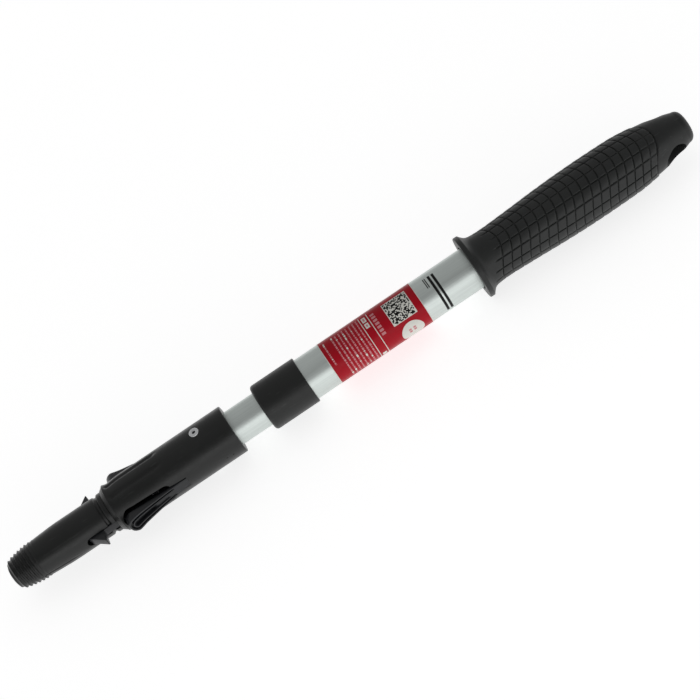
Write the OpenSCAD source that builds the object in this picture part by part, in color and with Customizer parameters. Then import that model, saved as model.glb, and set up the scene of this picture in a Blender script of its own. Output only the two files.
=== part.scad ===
// Short telescopic extension pole with a threaded quick-release taper tip.
// The pole lies along X: taper tip at -X, handle at +X, latch levers on +Y and -Y, rivets on +Z and -Z.
// Stations along the pole are measured from the tip; placed() moves them to the part's own frame,
// whose origin is under the middle of the pole at the height the handle flange stands on.

/* [Overall] */
// Collapsed length from the tip to the end of the handle
pole_length = 440; // [436:1:460]
// How far the front pole draws out
telescope_travel = 170; // [150:1:172]

/* [Tubes] */
// Outside diameter of the fixed outer tube
outer_tube_d = 24.8; // [24.6:0.1:25]
// Outside diameter of the sliding inner tube
inner_tube_d = 20.4; // [20.2:0.1:20.6]
// Wall of both tubes
tube_wall = 1.2; // [1.1:0.1:1.3]
// Diameter of the guide collar at the mouth of the outer tube
collar_d = 27.8; // [27.6:0.1:29]
// Station of the collar's front edge
collar_x = 163.2; // [160:0.1:168]
// Length of the guide collar
collar_length = 28.4; // [26:0.1:32]

/* [Tip] */
// Largest diameter of the taper
taper_d = 23.4; // [23.2:0.1:23.6]
// Thread pitch on the taper
thread_pitch = 2.4; // [2.2:0.1:2.6]
// Number of thread turns
thread_turns = 7; // [4:1:7]
// Height of the thread over its root
thread_height = 0.55; // [0.3:0.05:0.6]
// Width of the slots that the barbs stand in
barb_slot_w = 5.9; // [5.6:0.1:6.2]
// Height of each barb's point above the pole's axis
barb_reach = 18.5; // [16:0.1:18.6]

/* [Latch] */
// Diameter of the latch housing
housing_d = 28.9; // [28.6:0.1:30]
// Station of the housing's front edge
housing_x = 64.4; // [64.4:0.1:64.8]
// Station of the housing's rear edge
housing_end = 144; // [140:0.1:150]
// Height of the lever's front end above the pole's axis
lever_reach = 19.6; // [18:0.1:19.8]
// Diameter of the rivet heads on the housing
rivet_head_d = 6.2; // [5:0.1:7]

/* [Handle] */
// Diameter of the flange in front of the grip
flange_d = 38; // [36:0.5:40]
// Largest diameter of the grip
grip_d = 34.1; // [33:0.1:35]
// Length of the grip from the flange to the smooth end
grip_length = 117.3; // [114:0.1:117.3]
// Diameter of the hang hole
hang_hole_d = 15; // [12:0.1:15.2]
// Turn of the hang hole about the pole, from +Y
hang_hole_angle = 206; // [180:2:270]

/* [Label] */
// Station of the label's front edge
label_x = 206.7; // [196:0.1:215]
// Length of the label
label_length = 59.8; // [40:0.1:85]
// Thickness of the label film
label_film = 0.1; // [0.08:0.01:0.2]

/* [Hidden] */
$fn = 96;

press_gap = 0.03;
slide_gap = 0.1;
outer_r = outer_tube_d / 2;
outer_bore_r = outer_r - tube_wall;
inner_r = inner_tube_d / 2;
inner_bore_r = inner_r - tube_wall;
taper_r = taper_d / 2;
housing_r = housing_d / 2;

// Handle stations
grip_x = pole_length - 140.3;
grip_end = grip_x + grip_length;
tube_end = pole_length - 25;
hang_hole_x = pole_length - 14.6;
core_r = outer_r + 1.1;

// Lock stations: everything hangs off the end plug's face, which stops the lock as the pole closes
plug_face = pole_length - 50.6;
spindle_end = plug_face - 0.4;
sleeve_x = plug_face - 29;
sleeve_end = plug_face - 3.4;
flange_end = sleeve_x - 0.5;
inner_tube_end = flange_end - 2.9;
nut_length = 10;
nut_x = sleeve_x + 3.6;
nut_front_r = 9.6;
nut_rear_r = 8;
nut_play = 0.45;
spindle_r = 3.5;

// Latch stations
mouth_x = 60.6;
cavity_r = 11.8;
cavity_end = 116;
shank_r = cavity_r - 0.2;
inner_tube_x = cavity_end + 0.1;
shank_end = 135;
pivot_x = 111.5;
pivot_y = 8.6;
pin_r = 1.2;
pin_half = 5.3;
rivet_x = 125.7;
rivet_r = 1.6;
rivet_seat_z = housing_r - 0.35;
lever_root_x = 108.8;
lever_root_y = 14.3;
lever_front_x = 69;
lever_front_half = 4.8;
lever_curve = 1.35;
lever_root_half = 2.95;
lever_taper = 1.2;
finger_underside = [[69, 14.2], [70.5, 13.9], [95, 13.5], [108.8, 12]];
arm_half = 2.4;
barb_x = 55.2;
slot_front_x = 44.7;
spring_x = 90;
spring_seat_y = 1.5;
spring_top_y = 7.5;

axis_z = flange_d / 2;

module placed() {
    translate([-pole_length / 2, 0, axis_z]) children();
}

// A solid of revolution about the pole's axis, from points [radius, station]
module turned(points) {
    rotate([0, 90, 0]) rotate_extrude() polygon(points);
}

// A round bar on the pole's axis
module rod(r, from, to) {
    translate([from, 0, 0]) rotate([0, 90, 0]) cylinder(r = r, h = to - from);
}

// A tube on the pole's axis
module tube(r, bore, from, to) {
    difference() {
        rod(r, from, to);
        rod(bore, from - 1, to + 1);
    }
}

// A block centred on the pole's axis in Y and Z
module block(from, to, half_y, half_z) {
    translate([from, -half_y, -half_z]) cube([to - from, 2 * half_y, 2 * half_z]);
}

// A quarter arc of points round a convex corner, for turned profiles
function corner(r, x, radius, start) =
    [for (i = [0:4]) [r + radius * cos(start + i * 22.5), x + radius * sin(start + i * 22.5)]];

// ---- Handle ----

// Outer profile of the grip, as [distance behind the flange's face, radius]
grip_outline = [
    [0.6, flange_d / 2 - 0.5], [1.0, flange_d / 2], [1.9, flange_d / 2], [2.5, 18.4], [3.4, 17.4],
    [4.9, 16.4], [7.4, 15.6], [11.6, 15], [17, 14.85], [25, 15.2], [38, 15.8], [47, 16.35],
    [64, grip_d / 2 - 0.15], [77, grip_d / 2], [90, grip_d / 2 - 0.1], [99, 16.75], [103, 16.5],
    [108, 15.9], [112, 15.3], [grip_length, 14.5]
];

module grip_sleeve() {
    color("#1b1c1e") placed() turned(concat(
        [[core_r, grip_x], [flange_d / 2 - 1, grip_x]],
        [for (p = grip_outline) [p[1], grip_x + p[0]]],
        [[core_r, grip_end]]
    ));
}

// Smooth end of the handle, as [distance from the pole's end, radius]
handle_end_outline = [
    [23, 14.35], [19.8, 13.8], [15.5, 13], [11.1, 11.95], [6.8, 10.7], [3.4, 9.6], [1.4, 8.4],
    [0.3, 6.5], [0, 4.2]
];

module handle_core() {
    color("#222326") placed() difference() {
        turned(concat(
            [[outer_r + press_gap, grip_x + 2], [core_r, grip_x + 2], [core_r, grip_end]],
            [for (p = handle_end_outline) [p[1], pole_length - p[0]]],
            [[0, pole_length], [0, tube_end], [outer_r + press_gap, tube_end]]
        ));
        translate([hang_hole_x, 0, 0]) rotate([hang_hole_angle - 90, 0, 0])
            cylinder(r = hang_hole_d / 2, h = 60, center = true);
    }
}

module outer_tube() {
    color("#bcc2c1") placed() tube(outer_r, outer_bore_r, collar_x + 2.5, tube_end);
}

module tube_label() {
    color("#b01228") placed()
        tube(outer_r + label_film, outer_r, label_x, label_x + label_length);
}

module guide_collar() {
    r = collar_d / 2;
    x = collar_x;
    bore = inner_r + slide_gap;
    skirt_end = inner_tube_end - telescope_travel - 0.5;
    color("#1e1f22") placed() turned(concat(
        [[bore + 0.4, x]],
        [for (i = [0:4]) [r - 1.6 + 1.6 * sin(i * 22.5), x + 1.6 - 1.6 * cos(i * 22.5)]],
        [
            [r, x + collar_length - 0.5], [r - 0.5, x + collar_length],
            [outer_r + press_gap, x + collar_length], [outer_r + press_gap, x + 2.5],
            [outer_bore_r - press_gap, x + 2.5], [outer_bore_r - press_gap, skirt_end],
            [bore, skirt_end], [bore, x + 0.4]
        ]
    ));
}

module tube_end_plug() {
    color("#8d9091") placed() difference() {
        rod(outer_bore_r - press_gap, plug_face, tube_end);
        rod(8, plug_face + 2.5, tube_end + 1);
    }
}

// ---- Twist lock ----

function lock_bore(x) =
    nut_front_r + nut_play - (x - nut_x) * (nut_front_r - nut_rear_r) / nut_length;

module lock_sleeve() {
    outside = outer_bore_r - slide_gap;
    taper_end = nut_x + nut_length + 4;
    color("#e6e4dc") placed() difference() {
        turned([
            [lock_bore(nut_x), sleeve_x], [outside - 0.4, sleeve_x], [outside, sleeve_x + 0.6],
            [outside, sleeve_end - 0.6], [outside - 0.6, sleeve_end],
            [spindle_r + slide_gap, sleeve_end], [spindle_r + slide_gap, sleeve_end - 3],
            [lock_bore(taper_end), sleeve_end - 3], [lock_bore(taper_end), taper_end],
            [lock_bore(nut_x), nut_x]
        ]);
        for (a = [0, 90]) rotate([a, 0, 0]) block(sleeve_x - 1, sleeve_end - 6, 1.2, 20);
    }
}

module lock_cone_nut() {
    color("#b9261f") placed() difference() {
        union() {
            turned([
                [0, nut_x], [nut_front_r, nut_x], [nut_rear_r, nut_x + nut_length],
                [0, nut_x + nut_length]
            ]);
            block(nut_x + 1, nut_x + nut_length - 1, 1, 10.6);
        }
        rod(spindle_r + slide_gap, nut_x - 1, nut_x + nut_length + 1);
    }
}

module spindle_plug() {
    color("#2a2b2e") placed() difference() {
        union() {
            rod(inner_bore_r - press_gap, inner_tube_end - 16, inner_tube_end);
            rod(outer_bore_r - 0.3, inner_tube_end, flange_end);
        }
        rod(spindle_r + press_gap, inner_tube_end - 17, flange_end + 1);
        rod(5.5 + press_gap, inner_tube_end - 17, inner_tube_end - 8);
        plug_rivet_shape(press_gap);
    }
}

module plug_rivet_shape(gap = 0) {
    for (side = [-1, 1]) translate([inner_tube_end - 4, 0, 0]) rotate([-90 * side, 0, 0])
        translate([0, 0, 5]) cylinder(r = 1.2 + gap, h = inner_r - 5.1 + 2 * gap);
}

module plug_rivets() {
    color("#c9ccce") placed() plug_rivet_shape();
}

module lock_spindle() {
    groove = spindle_end - 2.7;
    color("#a9adb0") placed() turned([
        [0, inner_tube_end - 13], [5.5, inner_tube_end - 13], [5.5, inner_tube_end - 8],
        [spindle_r, inner_tube_end - 8], [spindle_r, groove], [spindle_r - 0.6, groove],
        [spindle_r - 0.6, groove + 0.9], [spindle_r, groove + 0.9], [spindle_r, spindle_end - 0.6],
        [spindle_r - 0.6, spindle_end], [0, spindle_end]
    ]);
}

module spindle_clip() {
    groove = spindle_end - 2.7;
    color("#3a3c3f") placed() difference() {
        tube(5.4, spindle_r - 0.6 + press_gap, groove + 0.1, groove + 0.8);
        translate([groove - 1, -2.2, -8]) cube([4, 4.4, 8]);
    }
}

module inner_tube() {
    color("#c4c9c8") placed() difference() {
        tube(inner_r, inner_bore_r, inner_tube_x, inner_tube_end);
        plug_rivet_shape(press_gap);
        housing_rivet_bore();
    }
}

// ---- Quick-release tip ----

// Half profile of the taper at the thread's root, as [station, radius]
taper_outline = [
    [0, 6], [0.5, 7.3], [1.6, 8.2], [4.3, 9.1], [8.7, 9.85], [13, 10.35], [17.3, 10.7],
    [21.7, 11.05], [26, 11.3], [30.3, 11.55], [35, taper_r]
];

function taper_at(x) = lookup(x, taper_outline);

// The thread is one ridge that winds round the taper and sinks into it at both ends
thread_steps = 24;
thread_start = 1.6;
function thread_point(i, side) =
    let (
        turn = i / thread_steps,
        x = thread_start + turn * thread_pitch,
        fade = min(1, turn / 0.5, (thread_turns - turn) / 2),
        root = taper_at(x) - 0.35,
        out = side == 0 ? root + 0.35 + thread_height * fade : root,
        shift = side * 0.42 * thread_pitch,
        a = turn * 360
    ) [x + shift, out * cos(a), out * sin(a)];

module taper_thread() {
    rings = thread_turns * thread_steps;
    points = [for (i = [0:rings]) for (side = [-1, 0, 1]) thread_point(i, side)];
    faces = concat(
        [[0, 1, 2]],
        [for (i = [0:rings - 1]) for (k = [0:2]) let (a = 3 * i + k, b = 3 * i + (k + 1) % 3)
            [a, a + 3, b]],
        [for (i = [0:rings - 1]) for (k = [0:2]) let (a = 3 * i + k, b = 3 * i + (k + 1) % 3)
            [b, a + 3, b + 3]],
        [[3 * rings + 2, 3 * rings + 1, 3 * rings]]
    );
    polyhedron(points, faces, convexity = 10);
}

module housing_rivet_bore() {
    translate([rivet_x, 0, 0]) cylinder(r = rivet_r + press_gap, h = 2 * housing_d, center = true);
}

module cone_tip() {
    neck_r = taper_r + 0.25;
    color("#26282b") placed() difference() {
        union() {
            turned(concat(
                [[0, 0]],
                [for (p = taper_outline) [p[1], p[0]]],
                [
                    [taper_r, mouth_x - 1.4], [taper_r - 0.5, mouth_x - 0.9],
                    [taper_r - 0.5, mouth_x], [neck_r - 0.15, mouth_x + 0.6], [neck_r, mouth_x + 1],
                    [neck_r, housing_x - 0.1], [shank_r, housing_x - 0.1], [shank_r, cavity_end],
                    [inner_bore_r - press_gap, cavity_end],
                    [inner_bore_r - press_gap, shank_end - 1], [inner_bore_r - 1, shank_end],
                    [0, shank_end]
                ]
            ));
            taper_thread();
        }
        // Slot for the barb arms, round at its front end
        translate([slot_front_x + barb_slot_w / 2, 0, 0]) rotate([90, 0, 0])
            cylinder(d = barb_slot_w, h = 40, center = true);
        block(slot_front_x + barb_slot_w / 2, spring_x - 6, 20, barb_slot_w / 2);
        for (side = [0, 180]) rotate([side, 0, 0]) {
            // Spring pocket, hinge pocket and the flats under the finger plates
            translate([spring_x - 7, spring_seat_y, -barb_slot_w / 2])
                cube([15, 20, barb_slot_w]);
            translate([spring_x + 7, 5, -barb_slot_w / 2]) cube([cavity_end - spring_x - 9, 20, barb_slot_w]);
            translate([housing_x + 1, 7.4, -6]) cube([lever_root_x - housing_x - 0.2, 20, 12]);
        }
        lever_pin_shape(press_gap);
        housing_rivet_bore();
    }
}

module lever_pin_shape(gap = 0) {
    for (side = [-1, 1]) translate([pivot_x, side * pivot_y, -pin_half - gap])
        cylinder(r = pin_r + gap, h = 2 * (pin_half + gap));
}

module lever_pins() {
    color("#9fa4a7") placed() lever_pin_shape();
}

module latch_housing() {
    r = housing_r;
    x = housing_x;
    groove_r = 2.2;
    groove_depth = 0.7;
    color("#232527") placed() difference() {
        turned([
            [taper_r + 0.3, x], [r - 0.25, x + 2.5], [r, x + 3], [r, x + 3.6], [r - 0.7, x + 5.4],
            [r - 0.7, x + 7], [r, x + 12], [r, housing_end - 0.7], [r - 0.2, housing_end - 0.2],
            [r - 0.6, housing_end], [inner_r + 0.5, housing_end],
            [inner_r + press_gap, housing_end - 0.5], [inner_r + press_gap, cavity_end],
            [cavity_r, cavity_end], [cavity_r, x]
        ]);
        for (side = [0, 180]) rotate([side, 0, 0]) lever_window();
        housing_rivet_bore();
        // Flat seats for the rivet heads
        for (side = [0, 180]) rotate([side, 0, 0]) translate([rivet_x, 0, rivet_seat_z])
            cylinder(d = rivet_head_d + 2 * press_gap, h = 5);
        // Draft grooves beside the rib on each cheek
        for (side = [90, 270]) for (a = [-19, 19]) rotate([side + a, 0, 0])
            translate([x + 3, r + groove_r - groove_depth, 0]) rotate([0, 90, 0])
                cylinder(r = groove_r, h = 34);
    }
}

// Opening for one lever, on +Y: round in front of the finger plate, a thin slit on each side of its root
module lever_window() {
    front_half = 6.85;
    front_length = 6.2;
    rear_half = 6.2;
    front_x = 68;
    rear_x = 98.9;
    slit = 0.3;
    edge = concat(
        [for (a = [0:15:90]) [front_x + front_length * (1 - cos(a)), front_half * sin(a)]],
        [
            [rear_x - 4, rear_half], [rear_x - 1.4, rear_half - 0.5], [rear_x - 0.3, rear_half - 1.3],
            [rear_x, finger_half(rear_x) + slit + 0.2], [lever_root_x + slit, lever_root_half + slit]
        ]
    );
    translate([0, 5, 0]) rotate([-90, 0, 0]) linear_extrude(20) polygon(concat(
        edge, [for (i = [len(edge) - 1:-1:1]) [edge[i][0], -edge[i][1]]]
    ));
}

// How far a station lies from the lever's root towards its front, from 0 to 1
function lever_run(x) = max(0, min(1, (lever_root_x - x) / (lever_root_x - lever_front_x - 1)));

// Height of the finger face above the pole's axis
function finger_y(x) =
    lever_root_y + (lever_reach - lever_root_y) * pow(lever_run(x), lever_curve);

// Half width of the finger plate
function finger_half(x) =
    lever_root_half + (lever_front_half - lever_root_half) * min(1, pow(lever_run(x) * 1.12, lever_taper));

// One lever, on +Y: finger plate, arm, barb, hinge eye and spring spigot
module lever_shape() {
    nose_x = lever_front_x + lever_front_half;
    steps = 8;
    stations = [for (i = [0:steps]) lever_root_x - i * (lever_root_x - lever_front_x - 1) / steps];
    sides = [for (i = [0:steps]) lever_root_x - i * (lever_root_x - nose_x) / steps];
    difference() {
        union() {
            // Finger plate
            intersection() {
                translate([0, 0, -10]) linear_extrude(20) polygon(concat(
                    [for (x = stations) [x, finger_y(x)]],
                    [[lever_front_x, lever_reach - 0.6]],
                    finger_underside
                ));
                rotate([-90, 0, 0]) linear_extrude(30) union() {
                    translate([nose_x, 0]) circle(r = lever_front_half);
                    polygon(concat(
                        [for (x = sides) [x, -finger_half(x)]],
                        [for (i = [steps:-1:0]) [sides[i], finger_half(sides[i])]]
                    ));
                }
            }
            // Arm and barb
            translate([0, 0, -arm_half]) linear_extrude(2 * arm_half) polygon([
                [46.6, 8.8], [46.3, 9.6], [47.2, taper_r - 0.2], [barb_x - 0.5, barb_reach],
                [barb_x + 0.1, barb_reach], [barb_x + 1.3, taper_r - 0.3], [housing_x + 1, taper_r - 0.5],
                [lever_front_x - 0.6, taper_r - 0.4], [lever_front_x + 1.5, 15], [80, 14.5],
                [lever_root_x - 1, 12.2], [lever_root_x, 10.9], [pivot_x, 10.9], [pivot_x, 6.4],
                [104, 7.4], [75, 7.7]
            ]);
            translate([pivot_x, pivot_y, -arm_half]) cylinder(r = 2.5, h = 2 * arm_half);
            translate([spring_x, 6.4, 0]) rotate([-90, 0, 0]) cylinder(r = 1.3, h = 3);
        }
        translate([pivot_x, pivot_y, -10]) cylinder(r = pin_r + 0.06, h = 20);
        // Long recess in the finger face
        recess_length = 25;
        translate([lever_front_x + 5.5, lever_reach - 3.6, -0.8]) cube([recess_length, 10, 1.6]);
    }
}

module latch_lever_near() {
    color("#2b2d30") placed() rotate([180, 0, 0]) lever_shape();
}

module latch_lever_far() {
    color("#2b2d30") placed() lever_shape();
}

// Coil spring that stands on +Y between the shank's web and the lever's arm
coil_r = 1.95;
wire_r = 0.28;
coil_turns = 4.5;
coil_steps = 20;
wire_sides = 8;
function coil_point(i, k) =
    let (
        a = 360 * i / coil_steps,
        y = wire_r + (spring_top_y - spring_seat_y - 2 * wire_r) * i / (coil_turns * coil_steps),
        r = coil_r + wire_r * cos(360 * k / wire_sides)
    ) [r * cos(a), spring_seat_y + y + wire_r * sin(360 * k / wire_sides), r * sin(a)];

module coil_spring() {
    rings = coil_turns * coil_steps;
    points = [for (i = [0:rings]) for (k = [0:wire_sides - 1]) coil_point(i, k)];
    faces = concat(
        [[for (k = [0:wire_sides - 1]) k]],
        [for (i = [0:rings - 1]) for (k = [0:wire_sides - 1])
            let (a = wire_sides * i + k, b = wire_sides * i + (k + 1) % wire_sides)
            [a, a + wire_sides, b + wire_sides, b]],
        [[for (k = [wire_sides - 1:-1:0]) wire_sides * rings + k]]
    );
    translate([spring_x, 0, 0]) polyhedron(points, faces, convexity = 10);
}

module lever_spring_near() {
    color("#b8bcbf") placed() rotate([180, 0, 0]) coil_spring();
}

module lever_spring_far() {
    color("#b8bcbf") placed() coil_spring();
}

// Two blind rivets, one in each cheek of the housing
module housing_rivets() {
    head_z = rivet_seat_z;
    color("#d6d9da") placed() for (side = [0, 180]) rotate([side, 0, 0])
        translate([rivet_x, 0, 0]) rotate_extrude() polygon([
            [0.8, 5], [rivet_r, 5], [rivet_r, head_z], [rivet_head_d / 2, head_z],
            [rivet_head_d / 2, head_z + 0.35], [rivet_head_d / 2 - 0.6, head_z + 0.75],
            [1.2, head_z + 0.95], [0.8, head_z + 0.6]
        ]);
}

grip_sleeve();
handle_core();
outer_tube();
tube_label();
guide_collar();
tube_end_plug();
lock_sleeve();
lock_cone_nut();
inner_tube();
spindle_plug();
plug_rivets();
lock_spindle();
spindle_clip();
latch_housing();
cone_tip();
housing_rivets();
lever_pins();
latch_lever_near();
latch_lever_far();
lever_spring_near();
lever_spring_far();
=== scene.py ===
# Looks for the short telescopic extension pole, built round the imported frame.
# Lengths here are millimetres along or across the pole; at() turns them into the frame's metres.
import math
import random

import bmesh
import bpy
from mathutils import Matrix, Vector


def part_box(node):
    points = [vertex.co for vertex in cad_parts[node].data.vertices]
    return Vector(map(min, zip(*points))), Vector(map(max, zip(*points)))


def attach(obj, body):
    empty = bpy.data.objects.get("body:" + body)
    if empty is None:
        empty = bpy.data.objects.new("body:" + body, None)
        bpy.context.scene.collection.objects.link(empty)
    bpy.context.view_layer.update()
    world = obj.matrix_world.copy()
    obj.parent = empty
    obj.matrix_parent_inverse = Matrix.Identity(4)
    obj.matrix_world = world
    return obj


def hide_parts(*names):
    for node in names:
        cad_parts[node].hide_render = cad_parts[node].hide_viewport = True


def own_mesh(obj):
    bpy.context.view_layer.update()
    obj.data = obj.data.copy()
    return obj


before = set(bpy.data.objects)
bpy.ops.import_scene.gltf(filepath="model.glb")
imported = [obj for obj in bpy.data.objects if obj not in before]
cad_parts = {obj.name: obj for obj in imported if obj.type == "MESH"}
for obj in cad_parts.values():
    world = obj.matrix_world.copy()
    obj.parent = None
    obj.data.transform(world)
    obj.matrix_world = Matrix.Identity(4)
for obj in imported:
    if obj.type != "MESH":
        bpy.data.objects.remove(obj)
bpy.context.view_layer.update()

# ---- Places, from the frame ----

TIP_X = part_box("cone_tip")[0][0] * 1000
POLE_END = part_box("handle_core")[1][0] * 1000 - TIP_X
TUBE_LOW, TUBE_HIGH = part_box("outer_tube")
AXIS_Z = (TUBE_LOW[2] + TUBE_HIGH[2]) * 500
TUBE_R = (TUBE_HIGH[2] - TUBE_LOW[2]) * 500


def span(node):
    """A node's two stations along the pole, measured from the tip."""
    low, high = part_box(node)
    return low[0] * 1000 - TIP_X, high[0] * 1000 - TIP_X


def radius(node):
    """Half of a node's height."""
    low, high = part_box(node)
    return (high[2] - low[2]) * 500


def at(x, r, angle):
    """The frame's point, in metres, at station x and radius r, angle degrees from +Y towards +Z."""
    a = math.radians(angle)
    return ((x + TIP_X) / 1000, r * math.cos(a) / 1000, (r * math.sin(a) + AXIS_Z) / 1000)


def place(x, y, z):
    """The frame's point, in metres, at station x, y and z off the axis."""
    return ((x + TIP_X) / 1000, y / 1000, (z + AXIS_Z) / 1000)


# ---- Mesh helpers ----

def new_object(name, points, faces, sharp=35):
    mesh = bpy.data.meshes.new(name)
    mesh.from_pydata(points, [], faces)
    mesh.update()
    obj = bpy.data.objects.new(name, mesh)
    bpy.context.scene.collection.objects.link(obj)
    clean(obj, sharp)
    return obj


def clean(obj, sharp=35):
    """Merges doubles, points the faces outwards and shades smooth up to the sharp angle."""
    bm = bmesh.new()
    bm.from_mesh(obj.data)
    bmesh.ops.remove_doubles(bm, verts=bm.verts, dist=1e-6)
    bmesh.ops.dissolve_degenerate(bm, edges=bm.edges, dist=1e-7)
    bmesh.ops.recalc_face_normals(bm, faces=bm.faces)
    for face in bm.faces:
        face.smooth = True
    bm.to_mesh(obj.data)
    bm.free()
    obj.data.set_sharp_from_angle(angle=math.radians(sharp))


def lathe(name, profile, segments=128, closed=True, shape=None, sharp=35):
    """A turned piece from (station, radius) points. shape(x, r, angle) may move a point out or in."""
    rows = []
    for x, r in profile:
        row = []
        for j in range(segments):
            angle = 360 * j / segments
            rr = shape(x, r, angle) if shape else r
            row.append(at(x, rr, angle))
        rows.append(row)
    return grid_object(name, rows, closed, sharp)


def grid_object(name, rows, closed, sharp=35):
    """Rings of points joined into a skin. closed joins the last ring to the first."""
    n = len(rows[0])
    points = [p for row in rows for p in row]
    faces = []
    last = len(rows) if closed else len(rows) - 1
    for i in range(last):
        k = (i + 1) % len(rows)
        for j in range(n):
            m = (j + 1) % n
            faces.append((i * n + j, i * n + m, k * n + m, k * n + j))
    return new_object(name, points, faces, sharp)


def arc(x, r, size, start, end, steps=6):
    """Points of a round corner about (x, r), from start to end degrees, 0 being along +X."""
    return [
        (x + size * math.cos(math.radians(start + (end - start) * i / steps)),
         r + size * math.sin(math.radians(start + (end - start) * i / steps)))
        for i in range(steps + 1)
    ]


def smooth_through(points, steps):
    """Catmull-Rom points through a list of (x, y)."""
    out = []
    for i in range(len(points) - 1):
        p0 = points[max(i - 1, 0)]
        p1, p2 = points[i], points[i + 1]
        p3 = points[min(i + 2, len(points) - 1)]
        for k in range(steps):
            t = k / steps
            out.append(tuple(
                0.5 * (2 * b + (c - a) * t + (2 * a - 5 * b + 4 * c - d) * t * t
                       + (3 * b - a - 3 * c + d) * t ** 3)
                for a, b, c, d in zip(p0, p1, p2, p3)
            ))
    out.append(points[-1])
    return out


def smoothstep(low, high, v):
    t = min(1, max(0, (v - low) / (high - low)))
    return t * t * (3 - 2 * t)


def extrude_outline(name, outline, low, high, to_point, sharp=35):
    """A prism: outline's points at two heights, with flat ends."""
    n = len(outline)
    points = [to_point(p, low) for p in outline] + [to_point(p, high) for p in outline]
    faces = [(i, (i + 1) % n, n + (i + 1) % n, n + i) for i in range(n)]
    faces.append(tuple(range(n))[::-1])
    faces.append(tuple(range(n, 2 * n)))
    return new_object(name, points, faces, sharp)


CUT = bpy.data.materials.new("cut")


def carve(obj, cutters, operation="DIFFERENCE", bevel=0.0):
    """Cuts or joins the cutters, and rounds the rims that a cut leaves."""
    if not obj.data.materials:
        obj.data.materials.append(bpy.data.materials.new(obj.name + "_skin"))
    for cutter in cutters:
        cutter.data.materials.clear()
        cutter.data.materials.append(CUT)
        modifier = obj.modifiers.new("carve", "BOOLEAN")
        modifier.operation = operation
        modifier.solver = "EXACT"
        modifier.object = cutter
        modifier.material_mode = "TRANSFER"
        apply_modifiers(obj)
        bpy.data.objects.remove(cutter)
    if bevel:
        cut_slot = obj.data.materials.find(CUT.name)
        bm = bmesh.new()
        bm.from_mesh(obj.data)
        bmesh.ops.remove_doubles(bm, verts=bm.verts, dist=4e-6)
        weights = bm.edges.layers.float.new("bevel_weight_edge")
        for edge in bm.edges:
            slots = {face.material_index == cut_slot for face in edge.link_faces}
            if len(slots) == 2:
                edge[weights] = 1.0
        bm.to_mesh(obj.data)
        bm.free()
        modifier = obj.modifiers.new("rim", "BEVEL")
        modifier.limit_method = "WEIGHT"
        modifier.width = bevel / 1000
        modifier.segments = 2
        modifier.use_clamp_overlap = True
        apply_modifiers(obj)
    clean(obj)
    for polygon in obj.data.polygons:
        polygon.material_index = 0


def apply_modifiers(obj):
    depsgraph = bpy.context.evaluated_depsgraph_get()
    mesh = bpy.data.meshes.new_from_object(obj.evaluated_get(depsgraph))
    obj.modifiers.clear()
    old = obj.data
    obj.data = mesh
    bpy.data.meshes.remove(old)


def finish_piece(obj, material, body, slot, *nodes):
    """Gives a piece its material, its body and the CAD nodes it stands for; the slot argument is not used.
    """
    obj.data.materials.clear()
    obj.data.materials.append(material)
    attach(obj, body)
    if nodes:
        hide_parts(*nodes)


# ---- Materials ----

def node_material(name):
    material = bpy.data.materials.new(name)
    material.use_nodes = True
    tree = material.node_tree
    shader = tree.nodes["Principled BSDF"]
    place_node = tree.nodes.new("ShaderNodeTexCoord")
    return material, tree, shader, place_node.outputs["Object"]


def noise(tree, vector, scale, detail=4, roughness=0.55, stretch=(1, 1, 1)):
    mapping = tree.nodes.new("ShaderNodeMapping")
    mapping.inputs["Scale"].default_value = stretch
    tree.links.new(vector, mapping.inputs["Vector"])
    node = tree.nodes.new("ShaderNodeTexNoise")
    node.inputs["Scale"].default_value = scale
    node.inputs["Detail"].default_value = detail
    node.inputs["Roughness"].default_value = roughness
    tree.links.new(mapping.outputs["Vector"], node.inputs["Vector"])
    return node.outputs["Fac"]


def ramp(tree, value, stops):
    node = tree.nodes.new("ShaderNodeValToRGB")
    elements = node.color_ramp.elements
    while len(elements) < len(stops):
        elements.new(0.5)
    for element, (position, colour) in zip(elements, stops):
        element.position = position
        element.color = (*colour, 1)
    tree.links.new(value, node.inputs["Fac"])
    return node.outputs["Color"]


def spread(tree, value, low, high):
    """Maps a 0 to 1 value to low to high."""
    node = tree.nodes.new("ShaderNodeMapRange")
    node.inputs["To Min"].default_value = low
    node.inputs["To Max"].default_value = high
    tree.links.new(value, node.inputs["Value"])
    return node.outputs["Result"]


def bump(tree, shader, heights):
    """Chains bumps: each entry is (height value, strength, distance in millimetres)."""
    normal = None
    for height, strength, distance in heights:
        node = tree.nodes.new("ShaderNodeBump")
        node.inputs["Strength"].default_value = strength
        node.inputs["Distance"].default_value = distance / 1000
        tree.links.new(height, node.inputs["Height"])
        if normal:
            tree.links.new(normal, node.inputs["Normal"])
        normal = node.outputs["Normal"]
    tree.links.new(normal, shader.inputs["Normal"])


def mix_colour(tree, factor, first, second):
    node = tree.nodes.new("ShaderNodeMix")
    node.data_type = "RGBA"
    for socket, value in ((node.inputs[6], first), (node.inputs[7], second)):
        if isinstance(value, tuple):
            socket.default_value = (*value, 1)
        else:
            tree.links.new(value, socket)
    tree.links.new(factor, node.inputs[0])
    return node.outputs[2]


SPECULAR = 0.42


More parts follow.
